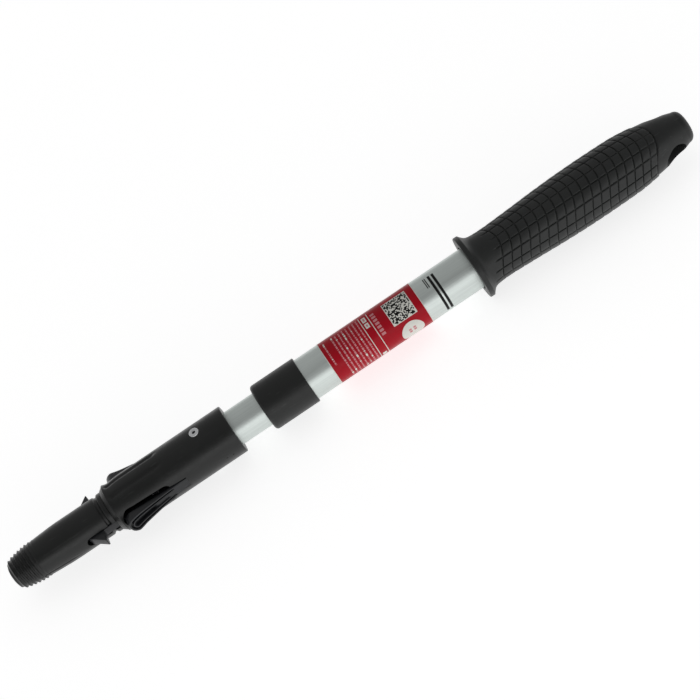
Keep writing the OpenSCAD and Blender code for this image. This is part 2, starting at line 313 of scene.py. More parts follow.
def moulded_plastic(name, dark, light, rough):
    """Moulded plastic: mottled colour, spark-eroded grain, faint scuffs along the pole."""
    material, tree, shader, place_out = node_material(name)
    cloud = noise(tree, place_out, 60, 3)
    colour = ramp(tree, cloud, [(0.3, dark), (0.72, light)])
    scuff = noise(tree, place_out, 900, 2, 0.7, (0.12, 1, 1))
    scuff_mask = ramp(tree, scuff, [(0.62, (0, 0, 0)), (0.8, (1, 1, 1))])
    scuffed = tuple(min(1, c * 2.2 + 0.008) for c in light)
    tree.links.new(mix_colour(tree, scuff_mask, colour, scuffed), shader.inputs["Base Color"])
    tree.links.new(spread(tree, noise(tree, place_out, 220, 5), rough - 0.09, rough + 0.12),
                   shader.inputs["Roughness"])
    grain_out = noise(tree, place_out, 2600, 3, 0.6)
    wave_out = noise(tree, place_out, 95, 2, 0.4)
    bump(tree, shader, [(grain_out, 0.5, 0.03), (wave_out, 0.35, 0.12)])
    shader.inputs["Specular IOR Level"].default_value = SPECULAR
    return material


def rubber(name):
    """Soft grip rubber: faint dusty specks over a cloudy black, and a fine leathery grain."""
    material, tree, shader, place_out = node_material(name)
    cloud = noise(tree, place_out, 70, 4)
    colour = ramp(tree, cloud, [(0.32, (0.0085, 0.0097, 0.0093)), (0.7, (0.0145, 0.0158, 0.0153))])
    specks = noise(tree, place_out, 500, 6, 0.75)
    dust = ramp(tree, specks, [(0.6, (0, 0, 0)), (0.85, (1, 1, 1))])
    tree.links.new(mix_colour(tree, dust, colour, (0.028, 0.030, 0.029)), shader.inputs["Base Color"])
    tree.links.new(spread(tree, noise(tree, place_out, 320, 4), 0.36, 0.52),
                   shader.inputs["Roughness"])
    leather = tree.nodes.new("ShaderNodeTexVoronoi")
    leather.inputs["Scale"].default_value = 2400
    tree.links.new(place_out, leather.inputs["Vector"])
    bump(tree, shader, [(leather.outputs["Distance"], 0.3, 0.03),
                        (noise(tree, place_out, 180, 3), 0.4, 0.1)])
    shader.inputs["Specular IOR Level"].default_value = SPECULAR
    return material


def drawn_aluminium(name, tint, rough):
    """Anodised tube: satin, with fine draw lines along the pole and a faint mottle."""
    material, tree, shader, place_out = node_material(name)
    lines = noise(tree, place_out, 1500, 4, 0.6, (0.02, 1, 1))
    mottle = noise(tree, place_out, 40, 3)
    darker = tuple(c * 0.86 for c in tint)
    colour = mix_colour(tree, mottle, darker, tint)
    line_mask = ramp(tree, lines, [(0.35, (0.8, 0.8, 0.8)), (0.65, (1, 1, 1))])
    multiply = tree.nodes.new("ShaderNodeMix")
    multiply.data_type = "RGBA"
    multiply.blend_type = "MULTIPLY"
    multiply.inputs[0].default_value = 0.5
    tree.links.new(colour, multiply.inputs[6])
    tree.links.new(line_mask, multiply.inputs[7])
    tree.links.new(multiply.outputs[2], shader.inputs["Base Color"])
    tree.links.new(spread(tree, lines, rough - 0.06, rough + 0.08), shader.inputs["Roughness"])
    bump(tree, shader, [(lines, 0.25, 0.02), (noise(tree, place_out, 120, 2), 0.12, 0.05)])
    shader.inputs["Metallic"].default_value = 1.0
    return material


def plated_steel(name, tint, rough):
    """Plated steel: bright, a little cloudy, with fine handling marks."""
    material, tree, shader, place_out = node_material(name)
    cloud = noise(tree, place_out, 300, 4)
    tree.links.new(mix_colour(tree, cloud, tuple(c * 0.75 for c in tint), tint),
                   shader.inputs["Base Color"])
    tree.links.new(spread(tree, noise(tree, place_out, 700, 3), rough - 0.08, rough + 0.1),
                   shader.inputs["Roughness"])
    bump(tree, shader, [(noise(tree, place_out, 1600, 3), 0.3, 0.02)])
    shader.inputs["Metallic"].default_value = 1.0
    return material


def printed_film(name, colour, rough):
    """Printed label film: slight ink mottle under a satin varnish."""
    material, tree, shader, place_out = node_material(name)
    ink = noise(tree, place_out, 420, 5, 0.6)
    tree.links.new(mix_colour(tree, ink, tuple(c * 0.82 for c in colour), colour),
                   shader.inputs["Base Color"])
    tree.links.new(spread(tree, noise(tree, place_out, 260, 3), rough - 0.05, rough + 0.08),
                   shader.inputs["Roughness"])
    bump(tree, shader, [(noise(tree, place_out, 150, 2), 0.15, 0.04)])
    shader.inputs["Specular IOR Level"].default_value = 0.14
    return material


black_plastic = moulded_plastic(
    "black_plastic", dark=(0.0038, 0.0044, 0.0041), light=(0.0070, 0.0078, 0.0074), rough=0.33)
lever_plastic = moulded_plastic(
    "lever_plastic", dark=(0.008, 0.009, 0.010), light=(0.014, 0.015, 0.018), rough=0.34)
collar_plastic = moulded_plastic(
    "collar_plastic", dark=(0.004, 0.0046, 0.0043), light=(0.0075, 0.0083, 0.0078), rough=0.40)
core_plastic = moulded_plastic(
    "core_plastic", dark=(0.0062, 0.007, 0.0067), light=(0.011, 0.012, 0.0118), rough=0.44)
white_nylon = moulded_plastic(
    "white_nylon", dark=(0.68, 0.67, 0.62), light=(0.78, 0.77, 0.72), rough=0.45)
red_nylon = moulded_plastic(
    "red_nylon", dark=(0.42, 0.02, 0.015), light=(0.5, 0.03, 0.02), rough=0.42)
grey_plastic = moulded_plastic(
    "grey_plastic", dark=(0.24, 0.25, 0.26), light=(0.31, 0.32, 0.33), rough=0.5)
grip_rubber = rubber("grip_rubber")
aluminium = drawn_aluminium("tube_aluminium", (0.71, 0.765, 0.74), 0.40)
steel = plated_steel("steel", (0.78, 0.79, 0.80), 0.28)
dark_steel = plated_steel("dark_steel", (0.12, 0.12, 0.13), 0.4)
red_ink = printed_film("red_ink", (0.42, 0.0035, 0.014), 0.30)
white_ink = printed_film("white_ink", (0.80, 0.80, 0.74), 0.40)
pink_ink = printed_film("pink_ink", (0.66, 0.27, 0.29), 0.40)
black_ink = printed_film("black_ink", (0.008, 0.0085, 0.008), 0.42)

# ---- Camera, lights and floor ----

VIEW_ELEVATION = 45
ROLL = 33.96
CAMERA_DISTANCE = 1.15
FRAME_WIDTH = 0.3797
SENSOR = 36
VIEW_CENTRE = POLE_END / 2 + 0.2
FLOOR_HALF = 4
FLOOR_GLOW = 0.76


def set_camera():
    """The photographed side: 45 degrees above the side, the pole rising to the right."""
    lift = math.radians(VIEW_ELEVATION)
    roll = math.radians(ROLL)
    toward = Vector((0, -math.cos(lift), math.sin(lift)))
    along = Vector((1, 0, 0))
    upward = Vector((0, math.sin(lift), math.cos(lift)))
    right = math.cos(roll) * along - math.sin(roll) * upward
    up = math.sin(roll) * along + math.cos(roll) * upward
    target = Vector(place(VIEW_CENTRE, 0, 0))
    data = bpy.data.cameras.new("camera")
    data.sensor_width = SENSOR
    data.lens = SENSOR * CAMERA_DISTANCE / FRAME_WIDTH
    data.clip_start = 0.01
    camera = bpy.data.objects.new("camera", data)
    bpy.context.scene.collection.objects.link(camera)
    axes = Matrix((right, up, toward)).transposed()
    camera.matrix_world = Matrix.Translation(target + toward * CAMERA_DISTANCE) @ axes.to_4x4()
    bpy.context.scene.camera = camera


def add_area(name, location, target, size, power):
    """A rectangular softbox at location, turned towards target, with power in watts."""
    data = bpy.data.lights.new(name, "AREA")
    data.shape = "RECTANGLE"
    data.size, data.size_y = size
    data.energy = power
    light = bpy.data.objects.new(name, data)
    bpy.context.scene.collection.objects.link(light)
    light.location = location
    aim = Vector(target) - Vector(location)
    light.rotation_euler = aim.to_track_quat("-Z", "Y").to_euler()


def set_studio():
    """A pale floor that glows a little, one weak softbox low in front, and the world's soft light."""
    corners = ((-1, -1), (1, -1), (1, 1), (-1, 1))
    floor = new_object("floor", [(FLOOR_HALF * x, FLOOR_HALF * y, 0) for x, y in corners], [(0, 1, 2, 3)])
    material, tree, shader, place_out = node_material("floor_paper")
    tone = noise(tree, place_out, 3, 3)
    tree.links.new(mix_colour(tree, tone, (0.54, 0.54, 0.54), (0.58, 0.58, 0.58)),
                   shader.inputs["Base Color"])
    shader.inputs["Roughness"].default_value = 0.9
    shader.inputs["Specular IOR Level"].default_value = 0.1
    shader.inputs["Emission Color"].default_value = (1, 1, 1, 1)
    shader.inputs["Emission Strength"].default_value = FLOOR_GLOW
    floor.data.materials.append(material)
    add_world()
    add_area("front_low_soft", (0, -1.5, 0.34), (0, 0, 0.02), (2.6, 0.5), 3)
    bpy.context.scene.view_settings.view_transform = "Standard"


def add_world():
    """Light from all round: in front bright near the horizon and dark higher up, behind an even grey."""
    world = bpy.data.worlds.new("studio")
    world.use_nodes = True
    tree = world.node_tree
    direction = tree.nodes.new("ShaderNodeTexCoord").outputs["Generated"]
    split = tree.nodes.new("ShaderNodeSeparateXYZ")
    tree.links.new(direction, split.inputs["Vector"])
    front_greys = ((0.0, 0.95), (0.2, 0.8), (0.36, 0.55), (0.55, 0.30), (0.78, 0.27), (1.0, 0.42))
    back_greys = ((0.0, 0.55), (0.3, 0.45), (0.65, 0.45), (1.0, 0.42))
    front = ramp(tree, split.outputs["Z"], [(height, (g, g, g)) for height, g in front_greys])
    back = ramp(tree, split.outputs["Z"], [(height, (g, g, g)) for height, g in back_greys])
    side = tree.nodes.new("ShaderNodeMapRange")
    side.inputs["From Min"].default_value = -0.15
    side.inputs["From Max"].default_value = 0.25
    tree.links.new(split.outputs["Y"], side.inputs["Value"])
    blend = tree.nodes.new("ShaderNodeMix")
    blend.data_type = "RGBA"
    tree.links.new(side.outputs["Result"], blend.inputs[0])
    tree.links.new(front, blend.inputs[6])
    tree.links.new(back, blend.inputs[7])
    tree.links.new(blend.outputs[2], tree.nodes["Background"].inputs["Color"])
    bpy.context.scene.world = world


set_camera()
set_studio()

# ---- Taper tip ----

TAPER_R = 11.7
NECK_R = 11.95
THREAD_PITCH = 2.42
THREAD_START, THREAD_STOP = 0.75, 21.0
SEAM_ANGLES = (132.5, 312.5)
SLOT_ANGLES = (0, 180)
taper_root = [(0.5, 6.5), (1.6, 7.6), (4.3, 8.75), (8.7, 9.7), (13, 10.3), (17.3, 10.7),
              (21.7, 11.05), (26, 11.3), (30.3, 11.55), (35, TAPER_R), (40, TAPER_R)]
taper_curve = smooth_through(taper_root, 12)


def taper_at(x):
    """The taper's radius between threads, at station x."""
    for (x0, r0), (x1, r1) in zip(taper_curve, taper_curve[1:]):
        if x <= x1:
            return r0 + (r1 - r0) * max(0, (x - x0) / (x1 - x0))
    return TAPER_R


def thread_shape(x, r, angle):
    """Adds the helical ridge over the front of the taper, and the seam and groove behind it."""
    # The nose's front face and the neck behind the taper stay plain
    if r < 6.5 or x > 59:
        return r
    turn = ((x - THREAD_START) / THREAD_PITCH - angle / 360) % 1
    ridge = max(0, 1 - abs(turn - 0.5) / 0.34) ** 0.9
    fade = smoothstep(THREAD_START - 0.6, THREAD_START + 1.5, x)
    fade *= 1 - smoothstep(THREAD_STOP - 7, THREAD_STOP, x)
    r += 0.85 * ridge * fade
    # Mould parting lines on the two cheeks
    for seam in SEAM_ANGLES:
        off = abs((angle - seam + 180) % 360 - 180)
        r += 0.14 * max(0, 1 - off / 1.5) * smoothstep(19, 24, x) * (1 - smoothstep(50, 57, x))
    # Shallow groove ahead of each barb slot
    for slot_angle in SLOT_ANGLES:
        off = abs((angle - slot_angle - 15.4 + 180) % 360 - 180)
        run = smoothstep(13, 15, x) * (1 - smoothstep(34, 37, x))
        r -= 0.5 * max(0, 1 - off / 3.2) * run
    return r


BARB_SLOT_HALF = 2.95
SLOT_FRONT = 44.7
WEB_HALF = 0.3
SPRING_SEAT = 1.5
CAVITY_END = 116
SHANK_R = 11.6
SHANK_BORE = 8.97
SHANK_END = span("cone_tip")[1]


def round_slot(half, front, rear):
    """Outline of a slot, round at its front end, in station and z."""
    points = [(front + half - half * math.cos(math.radians(a)), -half * math.sin(math.radians(a)))
              for a in range(-90, 91, 10)]
    return points[::-1] + [(rear, half), (rear, -half)]


def box_outline(front, rear, half):
    return [(front, -half), (rear, -half), (rear, half), (front, half)]


def side_cutter(outline, side, start, end):
    """A cutter on one side of the pole: an outline in station and z, from start to end off the middle."""
    near, far = sorted((side * start, side * end))
    return extrude_outline("cutter", outline, near, far, lambda p, h: place(p[0], h, p[1]))


def build_cone():
    profile = [(0.25, 0.02), (0.2, 3.0), (0.27, 4.3)] + arc(1.75, 5.0, 1.5, 180, 118, 5)
    # Close rings where the thread runs
    x, thread_step = 1.0, 0.16
    while x < 24:
        profile.append((x, taper_at(x)))
        x += thread_step
    profile += [(x, taper_at(x)) for x in (25, 27, 29, 31, 33, 35, 38, 42, 46, 50, 54, 57, 58.6)]
    profile += smooth_through([(58.7, TAPER_R), (59.2, TAPER_R - 0.2), (59.9, TAPER_R - 0.8),
                               (60.9, TAPER_R - 0.85), (61.6, TAPER_R - 0.1), (62.1, NECK_R)], 4)
    profile += [(64.2, NECK_R), (64.3, SHANK_R), (90, SHANK_R), (CAVITY_END, SHANK_R),
                (CAVITY_END, SHANK_BORE), (SHANK_END - 1, SHANK_BORE), (SHANK_END, 8.0), (SHANK_END, 0.02)]
    cone = lathe("taper_tip", profile, 160, closed=False, shape=thread_shape)
    cap_ends(cone)

    # Cuts in each side of the shank: outline, and how far off the middle the cut starts
    cuts = (
        (round_slot(BARB_SLOT_HALF, SLOT_FRONT, 84), WEB_HALF),
        (box_outline(83, 98, BARB_SLOT_HALF), SPRING_SEAT),
        (box_outline(97, 114, BARB_SLOT_HALF), 5),
        (box_outline(65.4, 109, 6), 7.4),
    )
    cutters = [side_cutter(outline, side, start, 20) for side in (-1, 1) for outline, start in cuts]
    carve(cone, cutters, bevel=0.22)
    finish_piece(cone, black_plastic, "front_pole", "black_plastic", "cone_tip")


def cap_ends(obj):
    """Closes the small rings that a skin with open ends leaves on the axis."""
    bm = bmesh.new()
    bm.from_mesh(obj.data)
    loops = [e for e in bm.edges if e.is_boundary]
    bmesh.ops.holes_fill(bm, edges=loops, sides=0)
    bmesh.ops.recalc_face_normals(bm, faces=bm.faces)
    for face in bm.faces:
        face.smooth = True
    bm.to_mesh(obj.data)
    bm.free()


build_cone()

# ---- Latch housing ----

HOUSING_X, HOUSING_END = span("latch_housing")
HOUSING_R = 14.45
HOUSING_BORE = 11.8
INNER_R = radius("inner_tube")
LEVER_FRONT, LEVER_HALF_FRONT = 69.0, 5.2
LEVER_ROOT, LEVER_HALF_ROOT = 108.8, 2.95
RIVET_X = 125.7
RIVET_SEAT = 14.1
RIVET_SEAT_R = 3.13
MOULD_MARKS = ((133.2, 185.5), (136.9, 187.5))
GROOVE_OFFSET, GROOVE_WIDTH = 18.8, 1.25


def housing_shape(x, r, angle):
    """Two soft grooves beside the rib on each cheek."""
    if r < HOUSING_R - 1.2:
        return r
    run = smoothstep(67.5, 70, x) * (1 - smoothstep(98.5, 101.8, x))
    for cheek in (90, 270):
        for side in (-GROOVE_OFFSET, GROOVE_OFFSET):
            off = math.radians(abs((angle - cheek - side + 180) % 360 - 180)) * HOUSING_R
            r -= 0.95 * run * math.exp(-(off / GROOVE_WIDTH) ** 2)
    return r


def window_outline():
    """A lever's opening, in station and z: round in front of the finger, slits beside its root."""
    side = [(74.2 - 6.2 * math.cos(math.radians(a)), 6.85 * math.sin(math.radians(a)))
            for a in range(0, 91, 6)]
    side += [(85, 6.55), (95.4, 6.2), (97.0, 5.95), (98.0, 5.5), (98.6, 4.9), (98.85, 4.3),
             (99.0, finger_half(99.0) + 0.55), (104, finger_half(104) + 0.5),
             (LEVER_ROOT + 0.06, LEVER_HALF_ROOT + 0.5)]
    return side + [(x, -z) for x, z in reversed(side[1:])]


def finger_run(x):
    """0 at the finger's root, 1 just behind its nose."""
    return max(0, min(1, (LEVER_ROOT - x) / (LEVER_ROOT - LEVER_FRONT - 1)))


def finger_half(x):
    """Half width of the finger plate behind its round nose."""
    widening = min(1, (finger_run(x) * 1.12) ** 1.2)
    return LEVER_HALF_ROOT + (LEVER_HALF_FRONT - LEVER_HALF_ROOT) * widening


def build_housing():
    """The shell over the levers: rounded front rim, neck groove, straight barrel."""
    x, r = HOUSING_X, HOUSING_R
    profile = [(x, 12.1), (x + 0.15, 12.35), (x + 2.2, r - 0.55)]
    profile += arc(x + 2.9, r - 0.75, 0.75, 150, 60, 5)
    profile += smooth_through([(x + 3.7, r - 0.25), (x + 5.0, r - 0.62), (x + 6.4, r - 0.66),
                               (x + 9, r - 0.3), (x + 12, r - 0.03), (x + 15, r)], 4)
    steps = 30
    profile += [(x + 15 + (HOUSING_END - 0.6 - x - 15) * i / steps, r) for i in range(1, steps + 1)]
    profile += arc(HOUSING_END - 0.6, r - 0.6, 0.6, 90, 0, 5)
    profile += [(HOUSING_END, INNER_R + 0.5), (HOUSING_END - 0.5, INNER_R + 0.05),
                (CAVITY_END, INNER_R + 0.05), (CAVITY_END, HOUSING_BORE), (x, HOUSING_BORE)]
    housing = lathe("latch_housing_shell", profile, 192, shape=housing_shape)

    cutters = [dimple(mark_x, angle, HOUSING_R, 0.5) for mark_x, angle in MOULD_MARKS]
    for side in (-1, 1):
        cutters.append(side_cutter(window_outline(), side, 5, 25))
        cutters.append(lathe_about_z("seat", [
            (0, side * RIVET_SEAT), (RIVET_SEAT_R, side * RIVET_SEAT),
            (RIVET_SEAT_R, side * 18), (0, side * 18)]))
    carve(housing, cutters, bevel=0.25)
    finish_piece(housing, black_plastic, "front_pole", "black_plastic", "latch_housing")


def dimple(x, angle, r, size):
    """A small ball that cuts a moulding mark."""
    bm = bmesh.new()
    bmesh.ops.create_icosphere(bm, subdivisions=2, radius=size / 1000,
                               matrix=Matrix.Translation(at(x, r + size * 0.3, angle)))
    mesh = bpy.data.meshes.new("dimple")
    bm.to_mesh(mesh)
    bm.free()
    obj = bpy.data.objects.new("dimple", mesh)
    bpy.context.scene.collection.objects.link(obj)
    return obj


def lathe_about_z(name, profile, segments=48):
    """A turned piece about the rivets' line, from (radius, z) points."""
    rows = []
    for r, z in profile:
        rows.append([place(RIVET_X + r * math.cos(2 * math.pi * j / segments),
                           r * math.sin(2 * math.pi * j / segments), z) for j in range(segments)])
    return grid_object(name, rows, profile[0][0] > 0 and profile[-1][0] > 0)


build_housing()


def build_rivets():
    """Tubular rivets with a rolled head and a hollow core. The hollow's darkness is painted shade: a dark
    steel plug sits a millimetre down each bore.
    """
    for label, side in (("upper", 1), ("lower", -1)):
        seat, bore = RIVET_SEAT, 0.8
        head = [(1.6, seat - 6), (1.6, seat), (2.8, seat), (2.95, seat + 0.12)]
        for degrees in range(0, 181, 15):
            a = math.radians(degrees)
            head.append((1.95 + math.cos(a), seat + 0.3 + 0.6 * math.sin(a)))
        head += [(bore, seat - 0.4), (bore, seat - 6)]
        rivet = lathe_about_z("rivet_" + label, [(r, side * z) for r, z in head])
        finish_piece(rivet, steel, "front_pole", "steel")
        # Dark steel plug inside the bore: painted shade for the rivet's hollow, not a real part of the
        # rivet
        core = lathe_about_z("rivet_hollow_shade_" + label, [
            (0.0, side * (seat - 5)), (0.79, side * (seat - 5)), (0.79, side * (seat - 1.2)),
            (0.5, side * (seat - 1.1)), (0.0, side * (seat - 1.05))])
        finish_piece(core, dark_steel, "front_pole", "steel")
    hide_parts("housing_rivets")


build_rivets()

# ---- Levers ----

LEVER_REACH = 19.6
LEVER_ROOT_Y = 14.3
PIVOT_X, PIVOT_Y = 111.5, 8.6
PIN_HOLE_R = 1.26
ARM_HALF = 2.4
NOSE_R = 1.1


def finger_height(x):
    """How far the finger's outer face stands off the axis: a rising ramp with a rolled-over nose."""
    height = LEVER_ROOT_Y + (LEVER_REACH - LEVER_ROOT_Y) * finger_run(x) ** 1.35
    inside = LEVER_FRONT + NOSE_R - x
    height = min(LEVER_REACH - 0.02, height + 0.55 * (1 - smoothstep(72, 79.5, x)))
    if inside > 0:
        height -= 0.6 * (NOSE_R - math.sqrt(max(0, NOSE_R ** 2 - inside ** 2)))
    return height


def finger_underside(x):
    """The flat underside, which the window shows beside the arm."""
    if x < 95:
        return 13.95 - 0.45 * (x - 69) / 26
    return 13.5 - 1.5 * (x - 95) / 13.8


def finger_ring(fraction, count_side=40, count_nose=28):
    """Points (station, z) of the outline drawn in by a fraction of the half width, from root to root."""
    centre = LEVER_FRONT + LEVER_HALF_FRONT
    ring = []
    for i in range(count_side):
        x = LEVER_ROOT + (centre - LEVER_ROOT) * i / count_side
        ring.append((x, (1 - fraction) * finger_half(x)))
    for i in range(count_nose + 1):
        a = math.pi * i / count_nose
        r = (1 - fraction) * LEVER_HALF_FRONT
        ring.append((centre - r * math.sin(a), r * math.cos(a)))
    ring += [(x, -z) for x, z in reversed(ring[:count_side])]
    return ring


# Relief across the finger, from its edge to its middle: (fraction of the half width, height)
FINGER_RELIEF = [
    (0.0, -0.28), (0.015, -0.12), (0.04, -0.03), (0.07, 0.0), (0.19, 0.0), (0.215, -0.06),
    (0.235, -0.30), (0.26, -1.9), (0.44, -1.95), (0.465, -0.35), (0.485, -0.08), (0.52, 0.0),
    (0.60, 0.0), (0.625, -0.08), (0.645, -0.35), (0.68, -2.6), (1.0, -2.7)
]


def build_finger(name):
    """The finger plate, on +Y, as rings drawn from its underside over its edge to its middle."""
    rings = [[(x, finger_underside(x), z) for x, z in finger_ring(1.0)],
             [(x, finger_underside(x), z) for x, z in finger_ring(0.08)],
             [(x, finger_underside(x) + 0.3, z) for x, z in finger_ring(0.0)]]
    for fraction, height in FINGER_RELIEF:
        ring = []
        for x, z in finger_ring(fraction):
            fade = 1 - smoothstep(96.5, 100.5, x) if fraction > 0.22 else 1
            if fraction > 0.64:
                fade = 0.3 + 0.7 * (1 - smoothstep(84, 89, x)) - 0.3 * smoothstep(94.5, 97, x)
            ring.append((x, finger_height(x) + height * fade, z))
        rings.append(ring)
    points = [place(*p) for ring in rings for p in ring]
    n = len(rings[0])
    faces = []
    for i in range(len(rings) - 1):
        for j in range(n - 1):
            faces.append((i * n + j, i * n + j + 1, (i + 1) * n + j + 1, (i + 1) * n + j))
    # Root wall
    left = [i * n for i in range(len(rings))]
    right = [i * n + n - 1 for i in range(len(rings))]
    faces.append(tuple(left + right[::-1]))
    return new_object(name, points, faces, 40)


def build_arm(name):
    """The arm under the finger, with the barb at its front and the hinge eye at its rear."""
    outline = [(46.75, 8.8), (46.35, 9.3), (46.45, 10.2), (47.2, TAPER_R - 0.15), (49.5, 13.3)]
    outline += [(54.5, 18.05), (54.85, 18.42), (55.15, 18.5), (55.4, 18.35), (55.5, 17.9)]
    outline += [(55.9, 13.4), (56.3, 11.8), (57.0, TAPER_R - 0.3), (59, TAPER_R - 0.4)]
    outline += [(65.4, 11.2), (68.4, 11.25), (70.3, 14.9), (80, 14.4), (95, 13.8), (107.4, 12.2),
                (108.8, 11.0)]
    arm = extrude_outline(
        name, outline, -ARM_HALF, ARM_HALF, lambda p, h: place(p[0], p[1], h), 40)
    bevel = arm.modifiers.new("edges", "BEVEL")
    bevel.width = 0.28 / 1000
    bevel.segments = 3
    bevel.limit_method = "ANGLE"
    bevel.angle_limit = math.radians(60)
    apply_modifiers(arm)
    return arm


def build_lever(label, turned_over, body, node):
    """Finger, arm and barb as one moulding. The near one is the far one turned half round the pole."""
    finger = build_finger("lever_" + label)
    arm = build_arm("arm_" + label)
    finger.data.materials.append(bpy.data.materials.new("lever_skin_" + label))
    carve(finger, [arm], "UNION")
    circle = [(PIVOT_X + PIN_HOLE_R * math.cos(math.radians(a)),
               PIVOT_Y + PIN_HOLE_R * math.sin(math.radians(a))) for a in range(0, 360, 15)]
    pin_hole = extrude_outline("pin_hole", circle, -6, 6, lambda p, h: place(p[0], p[1], h))
    carve(finger, [pin_hole])
    if turned_over:
        centre = Vector(place(0, 0, 0))
        half_turn = Matrix.Rotation(math.pi, 4, "X")
        finger.data.transform(Matrix.Translation(centre) @ half_turn @ Matrix.Translation(-centre))
        finger.data.update()
    finish_piece(finger, lever_plastic, body, "black_plastic", node)


build_lever("near", True, "near_lever", "latch_lever_near")
build_lever("far", False, "far_lever", "latch_lever_far")

# ---- Tubes, collar and label ----

INNER_FROM, INNER_TO = span("inner_tube")
OUTER_FROM, OUTER_TO = span("outer_tube")
TUBE_WALL = 1.2
SLIDE_TRAVEL = 170
COLLAR_LENGTH = 28.4


def tube_profile(x0, x1, r, bore, steps):
    """A tube's profile with broken edges at both ends."""
    edge = 0.2
    outside = [(x0 + edge + (x1 - x0 - 2 * edge) * i / steps, r) for i in range(steps + 1)]
    return ([(x0, r - edge)] + outside + [(x1, r - edge), (x1, bore + edge), (x1 - edge, bore),
                                          (x0 + edge, bore), (x0, bore + edge)])


def build_tube(name, x0, x1, r, body, node):
    tube = lathe(name, tube_profile(x0, x1, r, r - TUBE_WALL, 24), 160)
    finish_piece(tube, aluminium, body, "tube_aluminium", node)


build_tube("outer_tube_drawn", OUTER_FROM, OUTER_TO, TUBE_R, "handle", "outer_tube")
build_tube("inner_tube_drawn", INNER_FROM, INNER_TO, INNER_R, "front_pole", "inner_tube")


def build_collar():
    """The black ring on the outer tube's mouth, with the skirt that guides the inner tube inside it."""
    x0 = span("guide_collar")[0]
    x1 = x0 + COLLAR_LENGTH
    r = radius("guide_collar")
    bore = INNER_R + 0.1
    skirt_r = TUBE_R - TUBE_WALL - 0.03
    skirt_end = INNER_TO - SLIDE_TRAVEL - 0.5
    profile = [(x0 + 0.4, bore), (x0 + 0.1, bore + 0.3), (x0, bore + 0.8)]
    profile += [(x0, r - 2.4)] + arc(x0 + 2.0, r - 2.0, 2.0, 180, 90, 8)
    profile += [(x0 + 8, r), (x0 + 16, r), (x0 + 23, r)] + arc(x1 - 0.5, r - 0.5, 0.5, 90, 0, 5)
    profile += [(x1, TUBE_R + 0.25), (x1 - 0.25, TUBE_R + 0.03), (x0 + 2.5, TUBE_R + 0.03),
                (x0 + 2.5, skirt_r), (skirt_end, skirt_r), (skirt_end, bore)]
    collar = lathe("collar", profile, 160)
    finish_piece(collar, collar_plastic, "handle", "black_plastic", "guide_collar")


build_collar()

LABEL_FROM, LABEL_TO = span("tube_label")
LABEL_R = radius("tube_label")
PRINT_THICK = 0.02
CUT_EDGE = 0.32
VIEW_ANGLE = 135
SEAM_ANGLE = VIEW_ANGLE + 165


def patch(blocks, x0, x1, a0, a1, r):
    """Adds one thin curved block, between two stations and two angles, to a list of such blocks."""
    steps = max(1, math.ceil(abs(a1 - a0) / 2))
    blocks.append((x0, x1, a0, a1, r, steps))


def patches_object(name, blocks, material):
    """One piece on the handle from a list of blocks."""
    points, faces = [], []
    for x0, x1, a0, a1, r, steps in blocks:
        base = len(points)
        top = r + PRINT_THICK
        for i in range(steps + 1):
            a = a0 + (a1 - a0) * i / steps
            points += [at(x0, r, a), at(x1, r, a), at(x1, top, a), at(x0, top, a)]
        for i in range(steps):
            k = base + 4 * i
            for q in range(4):
                w = (q + 1) % 4
                faces.append((k + q, k + w, k + 4 + w, k + 4 + q))
        faces.append((base, base + 1, base + 2, base + 3))
        k = base + 4 * steps
        faces.append((k + 3, k + 2, k + 1, k))
    obj = new_object(name, points, faces, 60)
    finish_piece(obj, material, "handle", "label_film")


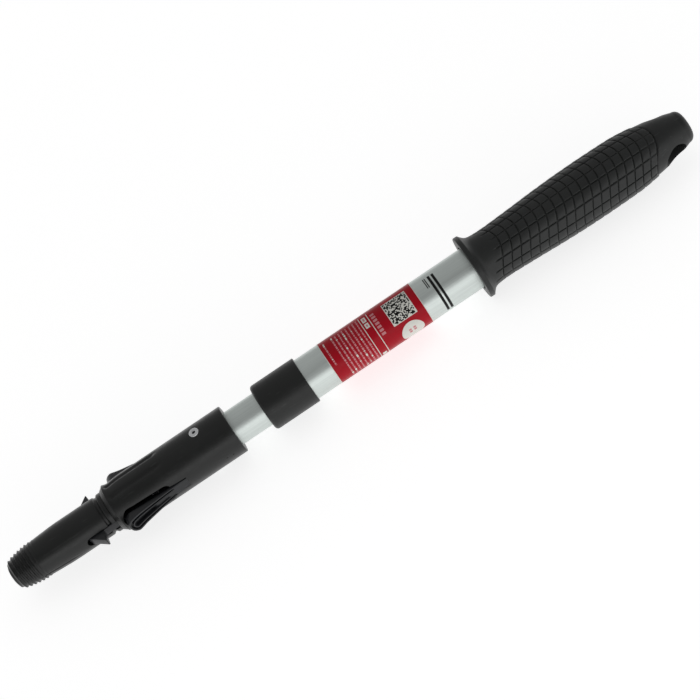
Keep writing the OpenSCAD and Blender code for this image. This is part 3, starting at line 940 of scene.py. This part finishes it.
def build_label():
    """The red film, its white borders and rules, and plain marks in place of its print."""
    rng = random.Random(7)
    start = LABEL_FROM - 0.5
    film = lathe("label_film_wrap", [
        (LABEL_FROM, LABEL_R - 0.1), (LABEL_FROM + 0.05, LABEL_R), (LABEL_TO - 0.05, LABEL_R),
        (LABEL_TO, LABEL_R - 0.1)], 160)
    finish_piece(film, red_ink, "handle", "label_film", "tube_label")
    mark_r = LABEL_R + 0.006
    white, pink, black = [], [], []
    top, bottom = across(-10.7), across(11.77) + 25
    # Cut edges of the film
    patch(white, LABEL_FROM, LABEL_FROM + CUT_EDGE, SEAM_ANGLE - 359, SEAM_ANGLE, mark_r)
    patch(white, LABEL_TO - CUT_EDGE, LABEL_TO, SEAM_ANGLE - 359, SEAM_ANGLE, mark_r)
    # Two thin rules round the tube
    for x in (start + 26.3, start + 31.3):
        patch(white, x, x + 0.42, top - 6, bottom, mark_r)
    # Rows of small print, as plain dashes
    rows = [(start + 3.0, across(2.68))] + [(start + 8.3 + 2.28 * i, bottom) for i in range(8)]
    for x, limit in rows:
        a = top + rng.uniform(-4, 0)
        while a < limit:
            length = rng.uniform(2.5, 9)
            ink = white if rng.random() < 0.12 else pink
            patch(ink, x, x + rng.uniform(0.75, 1.0), a, min(a + length, limit), mark_r)
            a += length + rng.uniform(1.2, 2.2)
    # Two small pictogram blanks between the rules, and a third further round
    for a0, a1 in ((across(-10.43), across(-7.76)), (across(-7.06), across(-4.28))):
        patch(white, start + 27.7, start + 30.1, a0, a1, mark_r)
        patch(pink, start + 28.4, start + 29.4, a0 + 4, a1 - 4, mark_r + PRINT_THICK)
    patch(white, start + 27.8, start + 30.2, across(11.24), across(11.24) + 14, mark_r)
    # One bold row of dashes
    a = across(-9.63)
    while a < across(2.68):
        patch(pink, start + 32.9, start + 35.3, a, a + 6.5, mark_r)
        a += 10
    # Panel with a plain block pattern
    x0, x1, a0, a1 = start + 40.7, start + 55.7, across(-10.33), across(3.1)
    patch(white, x0, x1, a0, a1, mark_r)
    cells = 21
    step_x, step_a = (x1 - x0 - 1.0) / cells, (a1 - a0 - 4.0) / cells
    for i in range(cells):
        for j in range(cells):
            if rng.random() < 0.5:
                x, a = x0 + 0.5 + step_x * i, a0 + 2.0 + step_a * j
                patch(black, x, x + step_x, a, a + step_a, mark_r + PRINT_THICK)
    # Plain bars on the bare tube behind the label
    tube_r = TUBE_R + 0.006
    for x, thick, a0, a1 in ((276.1, 1.5, -9.63, 11.66), (278.6, 1.5, -9.63, 11.66),
                             (273.2, 0.55, -9.63, -4.01), (274.2, 0.55, -9.63, -4.01)):
        patch(black, x, x + thick, across(a0), across(a1), tube_r)
    patches_object("label_white_print", white, white_ink)
    patches_object("label_pink_print", pink, pink_ink)
    patches_object("label_black_print", black, black_ink)
    build_disc(mark_r, start)


def across(offset):
    """The tube's angle where its surface, seen by the camera, is offset millimetres below the middle."""
    return VIEW_ANGLE + math.degrees(math.asin(offset / LABEL_R))


def build_disc(r, start):
    """The white disc near the label's rear edge, with a few plain dashes on it."""
    centre_x, size, rings = start + 48.5, 6.9, 12
    centre_a = across(5.14) + math.degrees(size / r)
    steps = 48
    points, faces = [], []
    for level in (0, PRINT_THICK):
        points.append(at(centre_x, r + level, centre_a))
        for ring in range(1, rings + 1):
            for i in range(steps):
                a = 2 * math.pi * i / steps
                q = size * ring / rings
                points.append(at(centre_x + q * math.cos(a), r + level,
                                 centre_a + math.degrees(q * math.sin(a) / r)))
    per = 1 + rings * steps
    for base, flip in ((0, True), (per, False)):
        for i in range(steps):
            j = (i + 1) % steps
            tri = (base, base + 1 + i, base + 1 + j)
            faces.append(tri[::-1] if flip else tri)
            for ring in range(rings - 1):
                a, b = base + 1 + ring * steps, base + 1 + (ring + 1) * steps
                quad = (a + i, b + i, b + j, a + j)
                faces.append(quad[::-1] if flip else quad)
    outer_ring = 1 + (rings - 1) * steps
    for i in range(steps):
        j = (i + 1) % steps
        faces.append((outer_ring + i, outer_ring + j, per + outer_ring + j, per + outer_ring + i))
    disc = new_object("label_disc", points, faces, 60)
    finish_piece(disc, white_ink, "handle", "label_film")
    dashes = []
    for x, a0, a1 in ((-2.2, -12, -6.5), (-2.2, -4.5, 2), (0.6, -13, -7.5), (0.6, -5.5, 1)):
        patch(dashes, centre_x + x, centre_x + x + 1.6, centre_a + a0, centre_a + a1, r + PRINT_THICK)
    patches_object("label_disc_print", dashes, pink_ink)


build_label()

# ---- Handle ----

GRIP_FROM = span("grip_sleeve")[0]
FLANGE_R = radius("grip_sleeve")
CORE_R = TUBE_R + 1.1
TILE_COLUMNS = 16
COLUMN_PHASE = 129.5
FIRST_GROOVE = 15.57
TILE_ROWS = 18
GROOVE_DEPTH = 0.6
WAVE = 3.87
WAVE_PEAK = 112
SLEEVE_END = 115.1

grip_body = smooth_through([
    (3.1, 18.5), (4.0, 17.4), (5.1, 16.3), (6.6, 15.5), (9.2, 15.1), (12.2, 14.95), (17, 14.9),
    (25, 15.2), (38, 15.8), (47, 16.3), (56, 16.65), (64, 16.9), (77, 17.05), (90, 16.95),
    (99, 16.75), (103, 16.5),
    (108, 15.95), (112, 15.4), (117.3, 14.55), (122, 13.6)], 6)


def grip_radius(x):
    """Radius of the grip's outline at a distance behind the flange's face."""
    for (x0, r0), (x1, r1) in zip(grip_body, grip_body[1:]):
        if x <= x1:
            return r0 + (r1 - r0) * max(0, (x - x0) / (x1 - x0))
    return grip_body[-1][1]


def wave(angle):
    """How far the rows of tiles swing along the pole at an angle, twice round the grip."""
    return WAVE * math.cos(math.radians(2 * (angle - WAVE_PEAK)))


def groove_cut(distance):
    """Depth of a groove at a distance from its middle: flat floor, rounded shoulders."""
    return GROOVE_DEPTH * (1 - smoothstep(0.14, 0.46, abs(distance)))


def groove_station(k):
    """Where the k-th groove round the grip runs, behind the flange's face, before the wave is added."""
    return FIRST_GROOVE + 5.915 * k - 0.0185 * k * k


def build_grip():
    """The moulded sleeve: flange, 16 columns of tiles between grooves, and a wavy rear edge."""
    offsets = [-0.55, -0.38, -0.26, -0.13, 0.13, 0.26, 0.38, 0.55]
    width = 360 / TILE_COLUMNS
    columns = []
    for c in range(TILE_COLUMNS):
        middle = COLUMN_PHASE + c * width
        columns += [(middle, o) for o in offsets]
        columns += [(middle + width * (0.5 + k * 0.17), None) for k in (-2, -1, 0, 1, 2)]
    grooves = [groove_station(k) for k in range(TILE_ROWS)]
    stations = [3.15, 3.5, 4.0, 4.5, 5, 5.7, 6.5, 7.5, 9, 10, 11, 12, 13, 14]
    for k, s in enumerate(grooves):
        pitch = groove_station(k + 1) - s
        stations += [s + o for o in offsets]
        between = [s + pitch * q for q in (0.2, 0.35, 0.5, 0.65, 0.8)]
        stations += [x for x in between if x < SLEEVE_END - 0.8]
    stations.sort()

    def ring(s, drop=0.0, level=None):
        """The sleeve's outside at one station, sunk by drop, or a plain circle of radius level."""
        points = []
        nearest_groove = min(grooves, key=lambda g: abs(g - s))
        gap = abs(nearest_groove - s)
        for middle, offset in columns:
            angle = middle if offset is None else middle + math.degrees(offset / grip_radius(s))
            x = s + wave(angle) * smoothstep(3.5, 13, s)
            r = grip_radius(x)
            turn = (angle - COLUMN_PHASE) % width
            nearest = min(turn, width - turn)
            started = smoothstep(-0.7, 0.7, x - 11.5 - 1.2 * wave(angle))
            along = groove_cut(math.radians(nearest) * r) * started
            crown = (1 - (1 - min(gap, 2.8) / 2.8) ** 3) * (1 - (1 - nearest / (width / 2)) ** 3)
            r += (0.14 * crown - 0.08) * smoothstep(12.5, 15, s) - max(along, groove_cut(gap))
            r = level if level is not None else r - drop
            points.append(at(GRIP_FROM + x, r, angle))
        return points

    rim = [(0.0, CORE_R), (0.0, FLANGE_R - 0.5)] + arc(0.5, FLANGE_R - 0.5, 0.5, 180, 90, 4)
    rim += arc(2.5, FLANGE_R - 0.5, 0.5, 90, 35, 4)
    rim_angles = [m if o is None else m + math.degrees(o / 15) for m, o in columns]
    rows = [[at(GRIP_FROM + x, r, angle) for angle in rim_angles] for x, r in rim]
    rows += [ring(s) for s in stations]
    rows += [ring(SLEEVE_END - 0.35, 0.02), ring(SLEEVE_END - 0.1, 0.12), ring(SLEEVE_END, 0.35),
             ring(SLEEVE_END, 1.2), ring(SLEEVE_END - 0.3, level=CORE_R)]
    grip = grid_object("grip_tiled", rows, True, 50)
    finish_piece(grip, grip_rubber, "handle", "grip_rubber", "grip_sleeve")


build_grip()

HANG_HOLE_X = POLE_END - 14.6
HANG_HOLE_R = 7.5
HANG_HOLE_ANGLE = 206
HOLE_REACH = 25


def shadow_gap(x, r, angle):
    """The core dips in a narrow groove just behind the sleeve's wavy edge."""
    behind = x - (GRIP_FROM + SLEEVE_END + wave(angle) + 0.35)
    if r > CORE_R:
        r -= 0.75 * math.exp(-(behind / 0.55) ** 2)
    return r


def build_core():
    """The hard handle under the sleeve, with its rounded end and the hang hole across it."""
    end = POLE_END
    # Distance ahead of the end, and radius
    outline = [(30.5, 15.1), (28, 14.95), (25.5, 14.62), (23, 14.25), (19.8, 13.75),
               (15.5, 12.95), (11.1, 11.9), (6.8, 10.65), (4.2, 9.75)]
    profile = [(GRIP_FROM + 2, TUBE_R + 0.03), (GRIP_FROM + 2, CORE_R - 0.05), (end - 31, CORE_R - 0.05)]
    profile += smooth_through([(end - d, r) for d, r in outline], 8)
    profile += [(end - 4.2 + 4.2 * math.sin(math.radians(a)), 5.6 + 4.15 * math.cos(math.radians(a)))
                for a in range(12, 91, 6)]
    profile += [(end, 3.2), (end, 0.02)]
    profile += [(OUTER_TO + 0.2, 0.02), (OUTER_TO + 0.2, TUBE_R + 0.03)]
    core = lathe("handle_end", profile, 144, shape=shadow_gap)
    steps = 48
    rows = []
    spin = math.radians(HANG_HOLE_ANGLE)
    for height in (-HOLE_REACH, HOLE_REACH):
        row = []
        for i in range(steps):
            a = 2 * math.pi * i / steps
            along, aside = HANG_HOLE_R * math.cos(a), HANG_HOLE_R * math.sin(a)
            row.append(place(HANG_HOLE_X + along,
                             height * math.cos(spin) - aside * math.sin(spin),
                             height * math.sin(spin) + aside * math.cos(spin)))
        rows.append(row)
    hole = grid_object("hole", rows, False)
    cap_ends(hole)
    carve(core, [hole], bevel=0.6)
    finish_piece(core, core_plastic, "handle", "black_plastic", "handle_core")


build_core()

# ---- Lever springs ----

SPRING_X, SPRING_TOP = 90, 7.5
SPRING_R, SPRING_WIRE = 1.95, 0.28
COILS, COIL_STEPS, WIRE_SIDES = 6, 24, 12


def spring_rise(turn):
    """Height of the wire above the seat: a closed coil at each end, open coils between."""
    top = SPRING_TOP - SPRING_SEAT - SPRING_WIRE
    end_turns, end_rise = 0.9, 0.58
    steps = [(0, SPRING_WIRE), (end_turns, SPRING_WIRE + end_rise),
             (COILS - end_turns, top - end_rise), (COILS, top)]
    for (t0, y0), (t1, y1) in zip(steps, steps[1:]):
        if turn <= t1:
            return y0 + (y1 - y0) * (turn - t0) / (t1 - t0)
    return steps[-1][1]


def build_spring(name, node, side):
    """A coil spring between the shank's web and a lever, built at one fixed length; the real spring
    shortens as the lever is pressed.
    """
    rows = []
    for i in range(COILS * COIL_STEPS + 1):
        turn = math.radians(360 * i / COIL_STEPS)
        row = []
        for k in range(WIRE_SIDES):
            a = math.radians(360 * k / WIRE_SIDES)
            r = SPRING_R + SPRING_WIRE * math.cos(a)
            y = SPRING_SEAT + spring_rise(i / COIL_STEPS) + SPRING_WIRE * math.sin(a)
            row.append(place(SPRING_X + r * math.cos(turn), side * y, side * r * math.sin(turn)))
        rows.append(row)
    spring = grid_object(name, rows, False, 60)
    cap_ends(spring)
    finish_piece(spring, dark_steel, "front_pole", "steel", node)
    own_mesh(spring)


build_spring("spring_near", "lever_spring_near", -1)
build_spring("spring_far", "lever_spring_far", 1)

# ---- CAD nodes that keep their shape ----

for node, material in (
    ("tube_end_plug", grey_plastic), ("lock_sleeve", white_nylon), ("lock_cone_nut", red_nylon),
    ("spindle_plug", black_plastic), ("plug_rivets", steel), ("lock_spindle", steel),
    ("spindle_clip", dark_steel), ("lever_pins", steel),
):
    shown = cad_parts[node]
    shown.data.materials.clear()
    shown.data.materials.append(material)
